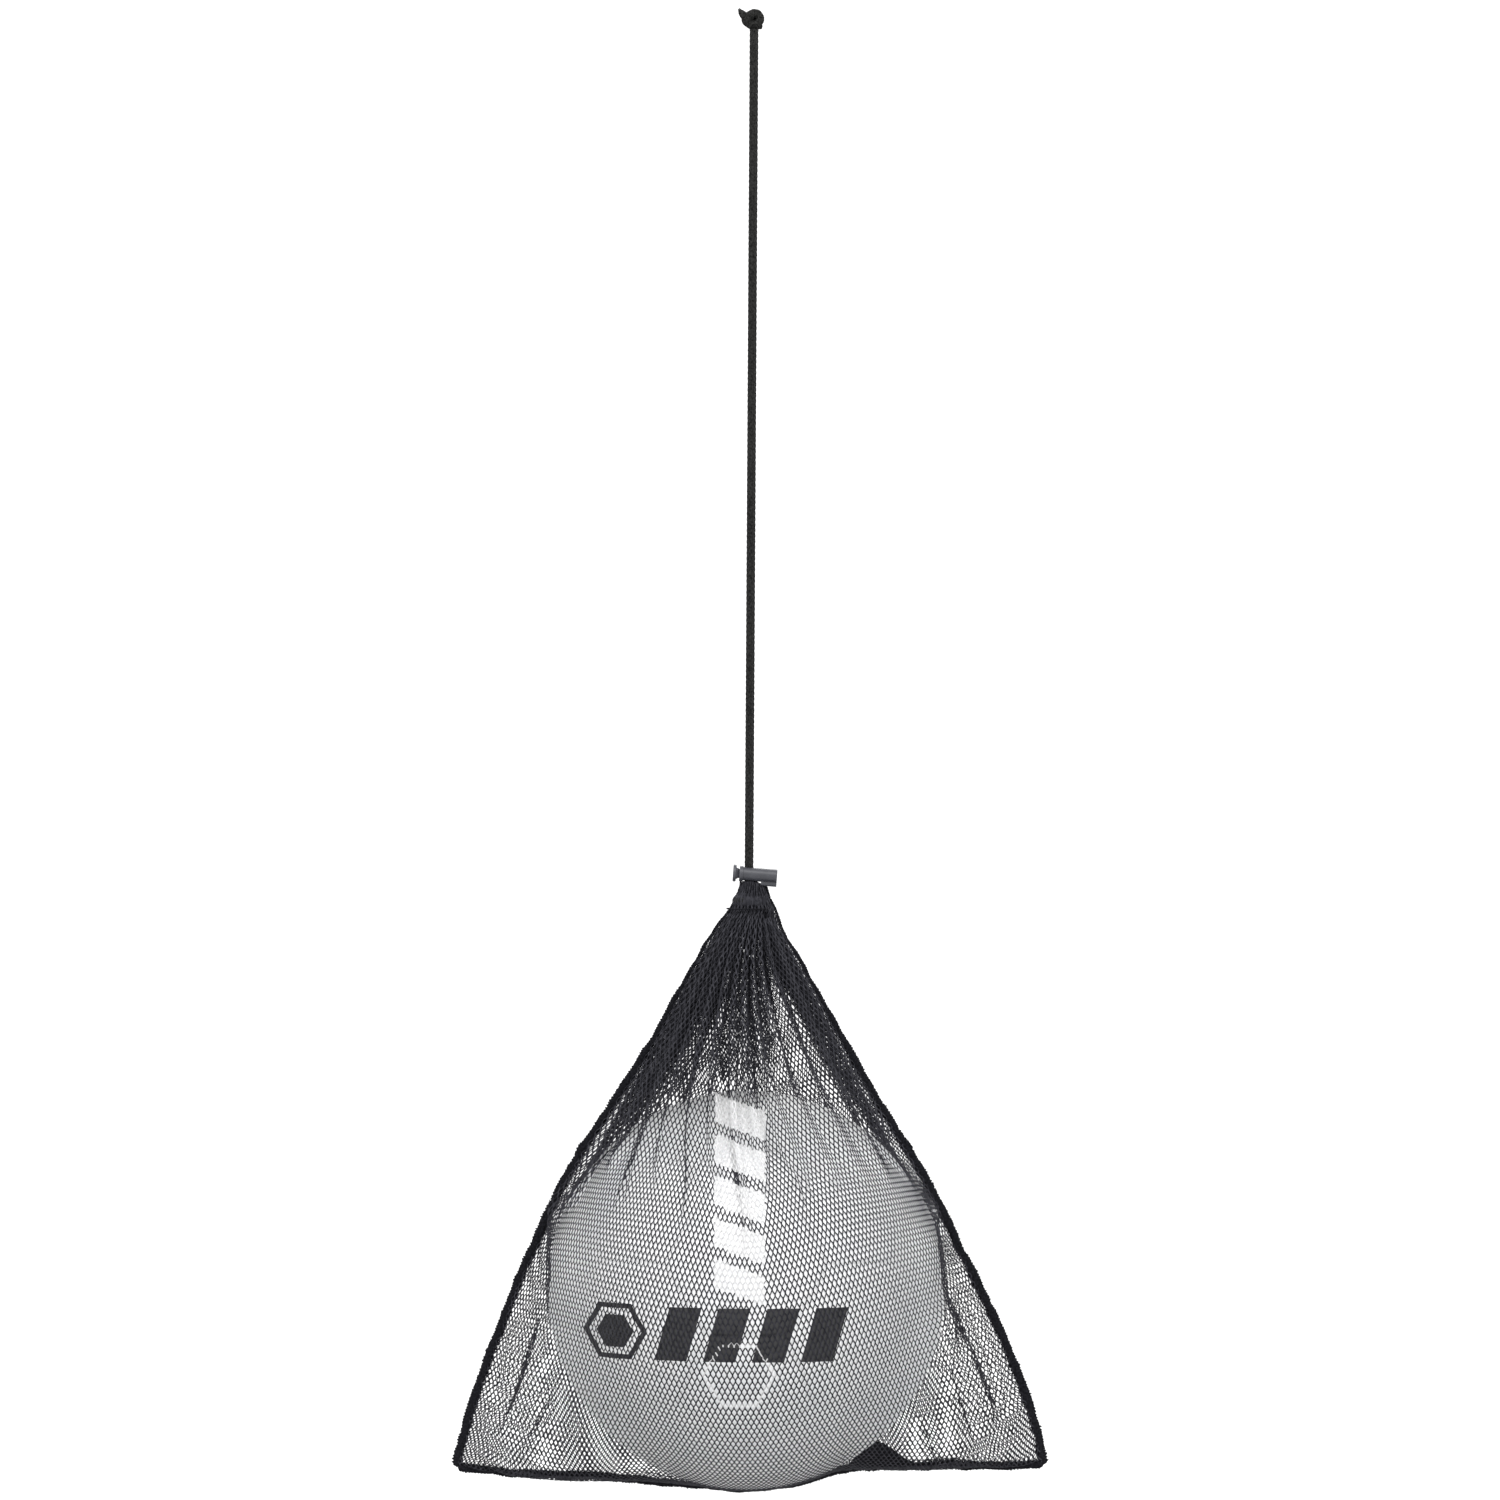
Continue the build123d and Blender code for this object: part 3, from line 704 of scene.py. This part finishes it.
PRINT_X, PRINT_HALF, PRINT_LEAN = -0.0038, 0.0137, 0.35
PRINT_TOP, PRINT_LOW, PRINT_PITCH, PRINT_SHARE = -0.588, -0.692, 0.0215, 0.70
RING_Z, RING_INSIDE, RING_OUTSIDE = -0.7318, 0.0156, 0.0172


def white_print(flat, side):
    """Which places on the flat cloth carry the pale print: a column of slanted bars over a six-sided ring."""
    place = look_up(sheet[side], flat)
    x, z = place[:, 0] - PRINT_X, place[:, 2]
    lean = z + PRINT_LEAN * x
    bars = (np.abs(x) < PRINT_HALF) & (lean < PRINT_TOP) & (lean > PRINT_LOW)
    bars &= ((PRINT_TOP - lean) / PRINT_PITCH) % 1 < PRINT_SHARE
    from_ring = np.abs(z - RING_Z)
    six = np.maximum(from_ring, SIX_SLANT * np.abs(x) + 0.5 * from_ring)
    return bars | ((six < RING_OUTSIDE) & (six > RING_INSIDE))


def cell_ring(centre, half):
    """Flat corners of the cells, shared between neighbours, followed by those of their openings; how many are
    shared; and the quads between the two."""
    flat_nodes = centre[:, None] + corners
    flat_holes = centre[:, None] + hole * np.stack([half, np.ones_like(half)], -1)[:, None]
    keys = np.round(flat_nodes.reshape(-1, 2) / (0.01 * MM)).astype(np.int64)
    _, first, back = np.unique(keys, axis=0, return_index=True, return_inverse=True)
    shared = flat_nodes.reshape(-1, 2)[first]
    ring = back.reshape(-1, 6)
    opening = len(shared) + np.arange(len(centre) * 6).reshape(-1, 6)
    faces = np.stack([ring, np.roll(ring, -1, 1), np.roll(opening, -1, 1), opening], -1).reshape(-1, 4)
    return np.vstack([shared, flat_holes.reshape(-1, 2)]), len(shared), faces


def knit(name, side):
    """One panel of knitted net on the draped cloth, and the share of it that its yarn covers."""
    centre = cells[side]
    width = look_up(stretch[side], centre)
    half = np.maximum(CELL_WIDTH / 2 - YARN / 2 / np.maximum(width, 0.2), 0.05 * CELL_WIDTH)
    flat, outer, faces = cell_ring(centre, half)
    flat[:, 0] = np.clip(flat[:, 0], 0, FLAT_WIDTH)
    flat[:, 1] = np.clip(flat[:, 1], top_v, FLAT_HEIGHT)
    lift = np.zeros(len(flat))
    lift[:outer] = YARN_CROWN
    points = look_up(sheet[side], flat) + look_up(normal[side], flat) * lift[:, None]
    if side:
        made = mesh_object(name, points, np.ascontiguousarray(faces[:, ::-1]), net_black)
    else:
        slots = white_print(flat[faces].mean(1), side).astype(int)
        made = mesh_object(name, points, faces, [net_black, net_white], slots)
    openings = (half * (HOLE_SHOULDER + HOLE_TOP) * 2).sum()
    return made, 1 - openings / (len(centre) * CELL_WIDTH * CELL_ROW)


front_net, cover_share = knit("front_net", 0)
back_net, back_share = knit("back_net", 1)

# The pleats' inner folds: tongues of net inside the neck, and the seams' turned-in edges.
FOLD_WIDTH = 0.160  # flat net across one layer of folds
FOLD_REACH = (  # for each layer, how far down it hangs at shares of the way from the left seam to the right
    ((0, 0.150), (0.07, 0.140), (0.10, 0.105), (0.20, 0.098), (0.26, 0.112), (0.31, 0.086), (0.40, 0.104),
     (0.44, 0.082), (0.52, 0.112), (0.57, 0.074), (0.63, 0.088), (0.67, 0.040), (0.84, 0.046), (0.88, 0.110),
     (0.93, 0.126), (0.97, 0.118), (1, 0.150)),
    ((0, 0.130), (0.05, 0.120), (0.12, 0.088), (0.20, 0.104), (0.30, 0.080), (0.37, 0.100), (0.46, 0.078),
     (0.50, 0.092), (0.56, 0.072), (0.61, 0.094), (0.65, 0.056), (0.74, 0.034), (0.82, 0.042), (0.90, 0.090),
     (0.96, 0.128), (1, 0.135)),
    ((0, 0.090), (0.10, 0.085), (0.16, 0.060), (0.26, 0.078), (0.36, 0.058), (0.46, 0.074), (0.55, 0.050),
     (0.63, 0.044), (0.76, 0.026), (0.86, 0.060), (1, 0.090)),
)
FOLD_DEPTHS = (-0.62, 0.45, -0.15)  # of the room between the panels, front to back
FOLD_LENGTH = 0.165


def inner_folds():
    """Three rippled layers of the same net between the two panels, each with a ragged lower edge."""
    points, faces, count = [], [], 0
    for layer, (reach, depth) in enumerate(zip(FOLD_REACH, FOLD_DEPTHS)):
        columns, rows = int(FOLD_WIDTH / CELL_WIDTH) - 1, int(FOLD_LENGTH / CELL_ROW)
        i, j = np.meshgrid(np.arange(columns), np.arange(rows))
        centre = np.stack([(i + 0.8 + 0.5 * (j % 2)) * CELL_WIDTH, (j + 0.4 * layer) * CELL_ROW], -1)
        centre = centre.reshape(-1, 2)
        across = centre[:, 0] / FOLD_WIDTH
        ragged = 0.004 * np.sin(61 * across + 2 * layer) + 0.003 * np.sin(151 * across)
        ragged *= 1 + 3 * np.abs(2 * across - 1) ** 6
        centre = centre[centre[:, 1] < np.interp(across, *np.array(reach).T) + ragged]
        flat, outer, quads = cell_ring(centre, np.full(len(centre), 0.33 * CELL_WIDTH))
        across = (flat[:, 0] - flat[:, 0].min()) / np.ptp(flat[:, 0])
        z = NECK_Z + 0.001 - 0.97 * flat[:, 1]
        left = np.interp(-z, -left_edge[:, 2], left_edge[:, 0])
        right = np.interp(-z, -right_edge[:, 2], right_edge[:, 0])
        x = left + (right - left) * across + 0.0006 * (layer + 1) * np.sign(0.5 - across)
        room = hull_radius(z) * np.sqrt(np.maximum(1 - (2 * across - 1) ** 2, 0)) ** 1.4
        ripple = 0.16 * np.sin(2 * pi * (8 + layer) * across + 1.3 * layer) * smooth_step(flat[:, 1] / 0.02)
        y = room * (depth + ripple)
        y[:outer] -= YARN_CROWN
        place = np.stack([x, y, z], -1)
        ball_gap = np.linalg.norm(place - BALL, axis=1) - BALL_RADIUS - 0.001
        keep = (ball_gap[quads] > 0).all(1)
        points.append(place)
        faces.append(quads[keep] + count)
        count += len(place)
    points, faces = np.vstack(points), np.vstack(faces)
    used, faces = np.unique(faces, return_inverse=True)
    return mesh_object("inner_folds", points[used], faces.reshape(-1, 4), net_black)


neck_folds = inner_folds()


# ---- Overlocked seams: a padded band of thread loops with a ragged fringe ----
LOOP_PITCH = 1.7 * MM
FRINGE_PITCH, FRINGE_REACH, FRINGE_HALF = 0.30 * MM, 1.7 * MM, 0.2 * MM
SEAM_HALF_THICK = 1.15 * MM
SIDE_HALF, BOTTOM_HALF = 2.55 * MM, 2.35 * MM


def overlock(name, line, half_width, outward, seed, neck=True):
    """A sewn band along a line in the X-Z plane; outward is the side of the fringe. A side seam narrows
    towards the neck, and the bottom one where it is turned under the ball."""
    draw = np.random.default_rng(seed)
    path, at = resample(line, 0.42 * MM)
    tangent, side, up = frames_along(path, (0, -1, 0))
    around = 14
    angle = np.linspace(0, 2 * pi, around, endpoint=False)
    slow = np.interp(at, np.linspace(0, at[-1], 70), draw.uniform(0.84, 1.14, 70))
    path = path + np.interp(at, np.linspace(0, at[-1], 45), draw.normal(0, 0.28, 45))[:, None] * MM * up
    turn = 2 * pi * at[:, None] / LOOP_PITCH + 1.1 * np.sin(angle)[None] + 0.8 * np.sin(2 * angle)
    loops = 0.5 + 0.5 * np.cos(turn)
    rough = draw.normal(0, 0.11, (len(path), around))
    swell = (0.86 + 0.2 * loops + rough) * slow[:, None]
    ends = np.sqrt(np.clip(np.minimum(at, at[-1] - at) / (half_width * 0.8), 0.02, 1))[:, None]
    if neck:
        ends = ends * (0.36 + 0.64 * smooth_step((at - 0.02) / 0.12))[:, None]
    else:
        ends = ends * (0.48 + 0.52 * smooth_step(np.abs(path[:, 0]) / UNDER_BALL_HALF))[:, None]
    a = SEAM_HALF_THICK * np.cos(angle)[None] * swell * ends
    b = half_width * np.sign(np.sin(angle)) * np.abs(np.sin(angle))[None] ** 0.8 * swell * ends
    points = path[:, None] + a[..., None] * side[:, None] + b[..., None] * up[:, None]
    points, faces = points.reshape(-1, 3), tube_faces(len(path), around)
    # yarn ends of the cut net that stick out past the thread
    count = int(at[-1] / FRINGE_PITCH)
    places = np.sort(draw.uniform(0.01, 0.99, count)) * at[-1]
    fringe, base = [], len(points)
    for place in places:
        k = min(int(place / at[-1] * (len(path) - 1)), len(path) - 2)
        out, ahead, aside = up[k] * outward, tangent[k], side[k]
        root = path[k] + out * half_width * 0.8 + aside * draw.uniform(-0.6, 0.6) * SEAM_HALF_THICK
        reach = draw.uniform(0.25, 1.0) ** 1.6 * FRINGE_REACH
        tip = root + out * (reach + 0.2 * half_width)
        tip = tip + ahead * draw.normal(0, 0.5) * MM + aside * draw.normal(0, 0.4) * MM
        behind, beside = root - ahead * FRINGE_HALF * 0.5, aside * FRINGE_HALF
        fringe += [root + ahead * FRINGE_HALF, behind + beside, behind - beside, tip]
        faces += [[base, base + 1, base + 3], [base + 1, base + 2, base + 3], [base + 2, base, base + 3]]
        faces += [[base + 2, base + 1, base]]
        base += 4
    return mesh_object(name, np.vstack([points, fringe]), faces, binding_black)


left_seam = overlock("left_seam", np.vstack([left_line, left_corner]), SIDE_HALF, -1, 3)
right_seam = overlock("right_seam", np.vstack([right_line, right_corner]), SIDE_HALF, 1, 4)
bottom_band = overlock("bottom_band", bottom_edge, BOTTOM_HALF, -1, 5, neck=False)


# ---- Cloth folded in above the bottom seam, right of the middle ----
FOLD_LEFT, FOLD_PEAK, FOLD_RIGHT, FOLD_HEIGHT = 0.052, 0.0705, 0.098, 0.0140


def folded_in():
    """A low dark hump of doubled cloth between the two panels: a closed thin body with small ripples."""
    columns, rows = 61, 15
    x = np.linspace(FOLD_LEFT, FOLD_RIGHT, columns)
    fall = (FOLD_RIGHT - x) / (FOLD_RIGHT - FOLD_PEAK)
    rise = np.where(x < FOLD_PEAK, (x - FOLD_LEFT) / (FOLD_PEAK - FOLD_LEFT), fall)
    top = FOLD_HEIGHT * smooth_step(rise) + 0.0004 * np.sin(x * 2600) * rise
    low = np.interp(x, bottom_edge[:, 0], bottom_edge[:, 2])
    up = np.linspace(0, 1, rows)[:, None]
    z = low + top * up
    y = 0.0016 * np.sin(pi * up) * rise + 0.0003 * np.sin(x * 1500 + 5 * up)
    layers = [np.stack([x + 0 * z, away * (y + 0.0005), z], -1) for away in (-1, 1)]
    count = columns * rows
    grid = np.arange(count).reshape(rows, columns)
    front_faces = np.stack([grid[:-1, :-1], grid[:-1, 1:], grid[1:, 1:], grid[1:, :-1]], -1).reshape(-1, 4)
    rim = np.concatenate([grid[0], grid[1:, -1], grid[-1, -2::-1], grid[-2:0:-1, 0]])
    sides = np.stack([rim, rim + count, np.roll(rim, -1) + count, np.roll(rim, -1)], -1)
    faces = np.vstack([front_faces, front_faces[:, ::-1] + count, sides])
    return mesh_object("bottom_fold", np.concatenate(layers).reshape(-1, 3), faces, binding_black)


bottom_fold = folded_in()


# ---- Drawcord channel: the folded hem, bunched tight ----
CHANNEL_SHIFT = 0.0011  # the bunched hem leans this far to the right, over the cord's run in it
CHANNEL_FOLDS, CHANNEL_DEPTHS = 26, 28  # how many folds go round it, and how many depths they have


def bunched_channel():
    """The hem round the cord: a closed ring, widest below its middle, with small folds all round."""
    around, levels = 168, 20
    angle = np.linspace(0, 2 * pi, around, endpoint=False)
    depths = np.random.default_rng(9).uniform(0.6, 1.3, CHANNEL_DEPTHS)
    depths = np.append(depths, depths[0])
    deep = np.interp(angle / (2 * pi) * CHANNEL_DEPTHS, np.arange(CHANNEL_DEPTHS + 1), depths)
    points = []
    for level in range(levels):
        share = level / (levels - 1)
        z = channel_high.z - 0.0002 - (channel_high.z - channel_low.z) * share
        base = 0.0046 + 0.0050 * smooth_step(share / 0.5) - 0.0040 * smooth_step((share - 0.66) / 0.34)
        ripple = 0.0005 * deep * np.cos(CHANNEL_FOLDS * angle + 0.8 * np.sin(3 * angle + share))
        radius = (base + ripple) * (1 - 0.2 * (abs(2 * share - 1) ** 8))
        x = radius * np.cos(angle) + CHANNEL_SHIFT * smooth_step(share / 0.5)
        points.append(np.stack([x, radius * np.sin(angle), np.full(around, z)], -1))
    inside = [points[level] * np.array([0.42, 0.42, 1]) for level in (levels - 1, 0)]
    stack = np.concatenate([points, inside])
    grid = np.arange(len(stack) * around).reshape(len(stack), around)
    below = np.roll(grid, -1, 0)
    faces = np.stack([grid, np.roll(grid, -1, 1), np.roll(below, -1, 1), below], -1).reshape(-1, 4)
    return mesh_object("gathered_hem", stack.reshape(-1, 3), np.ascontiguousarray(faces), net_black)


gathered_hem = bunched_channel()


# ---- Ball cover: thirty-two panels with pressed seams, and the valve's hole ----
PRESSED_DEPTH, PRESSED_HALF = 0.00055, 0.0016
COVER_THICK = 0.0018


def ball_panels():
    """The cover as the 12 five-sided and 20 six-sided faces of a football, one turned to the valve."""
    golden = (1 + sqrt(5)) / 2
    ico = []
    for a in (-1, 1):
        for b in (-golden, golden):
            ico += [(0, a, b), (a, b, 0), (b, 0, a)]
    ico = np.array(ico, float)
    ico /= np.linalg.norm(ico[0])
    near = np.linalg.norm(ico[0] - ico[1:], axis=1).min() * 1.01
    linked = [[k for k in range(12) if k != n and np.linalg.norm(ico[n] - ico[k]) < near] for n in range(12)]

    def third(n, k):
        """A third of the way from corner n to corner k."""
        return (2 * ico[n] + ico[k]) / 3

    faces = [(ico[n], [third(n, k) for k in linked[n]]) for n in range(12)]
    for n in range(12):
        for k in linked[n]:
            for m in linked[n]:
                if n < k < m and m in linked[k]:
                    rim = [third(n, k), third(k, n), third(k, m), third(m, k), third(m, n), third(n, m)]
                    faces.append(((ico[n] + ico[k] + ico[m]) / 3, rim))
    valve_way = Vector((0, cos(VALVE_TILT), sin(VALVE_TILT)))
    turn = np.array(Vector(faces[0][0]).rotation_difference(valve_way).to_matrix())
    steps = np.array([0, 0.16, 0.32, 0.48, 0.63, 0.77, 0.87, 0.93, 0.965, 0.985, 1.0])
    along_edge = 10
    points, quads = [], []
    for number, (middle, rim) in enumerate(faces):
        middle = middle / np.linalg.norm(middle)
        rim = [r / np.linalg.norm(r) for r in rim]
        x_way = rim[0] - middle * (rim[0] @ middle)
        x_way /= np.linalg.norm(x_way)
        y_way = np.cross(middle, x_way)
        rim.sort(key=lambda r: np.arctan2(r @ y_way, r @ x_way))
        outline = np.array([one + (two - one) * s / along_edge
                            for one, two in zip(rim, rim[1:] + rim[:1]) for s in range(along_edge)])
        outline /= np.linalg.norm(outline, axis=1, keepdims=True)
        first = VALVE_RADIUS / BALL_RADIUS if number == 0 else 0.03
        base, around = len(points), len(outline)
        for t in steps:
            ring = middle * (1 - t) + outline * t
            ring /= np.linalg.norm(ring, axis=1, keepdims=True)
            if t == 0:
                flat = outline - middle * (outline @ middle)[:, None]
                flat /= np.linalg.norm(flat, axis=1, keepdims=True)
                ring = middle * cos(first) + flat * sin(first)
            edge = (1 - t) * 0.36 * BALL_RADIUS  # distance from the panel's edge, roughly
            sink = PRESSED_DEPTH * np.exp(-((edge / PRESSED_HALF) ** 2))
            points += list(ring * (BALL_RADIUS - sink))
        grid = base + np.arange(len(steps) * around).reshape(len(steps), around)
        a, b = grid[:-1], grid[1:]
        quads += np.stack([a, b, np.roll(b, -1, 1), np.roll(a, -1, 1)], -1).reshape(-1, 4).tolist()
        if number == 0:
            low = len(points) + np.arange(around)
            points += [p - middle * COVER_THICK for p in points[base : base + around]]
            quads += np.stack([low, grid[0], np.roll(grid[0], -1), np.roll(low, -1)], -1).tolist()
        else:
            quads.append(grid[0].tolist())
    points = np.array(points) @ turn.T + BALL
    return mesh_object("ball_panels", points, quads, cover)


ball = ball_panels()


# ---- What rides on what: each piece with its body, its slot and the node that it replaces ----
(front_cord, front_path), (back_cord, back_path) = cords
(front_end_node, front_end), (back_end_node, back_end) = ends
for piece, body, slot, node in (
    (front_cord, "cord", "cord", "front_cord_strand"), (back_cord, "cord", "cord", "back_cord_strand"),
    (knot, "cord", "cord", "end_knot"), (knot_back, "cord", "cord", None), (knot_core, "cord", "cord", None),
    (front_end, "cord", "cord", front_end_node), (back_end, "cord", "cord", back_end_node),
    (front_net, "bag", "net", "front_net_panel"), (back_net, "bag", "net", "back_net_panel"),
    (gathered_hem, "bag", "net", "drawcord_channel"), (left_seam, "bag", "seam_binding", "left_side_seam"),
    (right_seam, "bag", "seam_binding", "right_side_seam"), (bottom_fold, "bag", "seam_binding", None),
    (bottom_band, "bag", "seam_binding", "bottom_seam"), (neck_folds, "bag", "net", None),
    (ball, "ball", "ball_cover", "ball_cover"),
):
    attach(piece, body)
    if node:
        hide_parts(node)

for node, finish in (("channel_cord", cord_black), ("channel_stitching", binding_black),
                     ("lock_barrel", lock_grey), ("lock_plunger", lock_grey), ("lock_spring", steel),
                     ("ball_lining", lining_cloth), ("ball_bladder", rubber), ("ball_valve", valve_rubber)):
    nodes[node].data.materials.clear()
    nodes[node].data.materials.append(finish)

# ---- Studio: white surroundings, a pale floor below and soft lamps in front ----
world = bpy.data.worlds.new("studio")
bpy.context.scene.world = world
world.use_nodes = True
world.node_tree.nodes["Background"].inputs["Color"].default_value = (1, 1, 1, 1)
world.node_tree.nodes["Background"].inputs["Strength"].default_value = 1.3
floor_finish = mottled("floor", (0.85, 0.85, 0.85), 0.8, (0.60, 0.60, 0.60), (0.64, 0.64, 0.64), 3)
FLOOR_Z, FLOOR_HALF = -1.0, 1.6
floor_corners = [(x * FLOOR_HALF, y * FLOOR_HALF, FLOOR_Z) for x, y in ((-1, -1), (1, -1), (1, 1), (-1, 1))]
floor = mesh_object("floor", floor_corners, [[0, 1, 2, 3]], floor_finish, smooth=False)
floor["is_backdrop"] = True


LIT_PLACE = (0, 0, -0.6)


def lamp(name, place, size, power):
    """A square area lamp that faces the bag."""
    light = bpy.data.lights.new(name, "AREA")
    light.size, light.energy = size, power
    made = bpy.data.objects.new(name, light)
    bpy.context.scene.collection.objects.link(made)
    made.location = place
    made.rotation_mode = "QUATERNION"
    made.rotation_quaternion = (Vector(LIT_PLACE) - Vector(place)).to_track_quat("-Z", "Y")


lamp("key", (-0.45, -1.35, 1.15), 0.9, 30)
lamp("fill", (1.2, -1.4, 0.2), 1.0, 7)
lamp("back", (0.3, 1.8, 0.8), 1.0, 12)
bpy.context.scene.view_settings.view_transform = "Standard"

low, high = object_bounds()
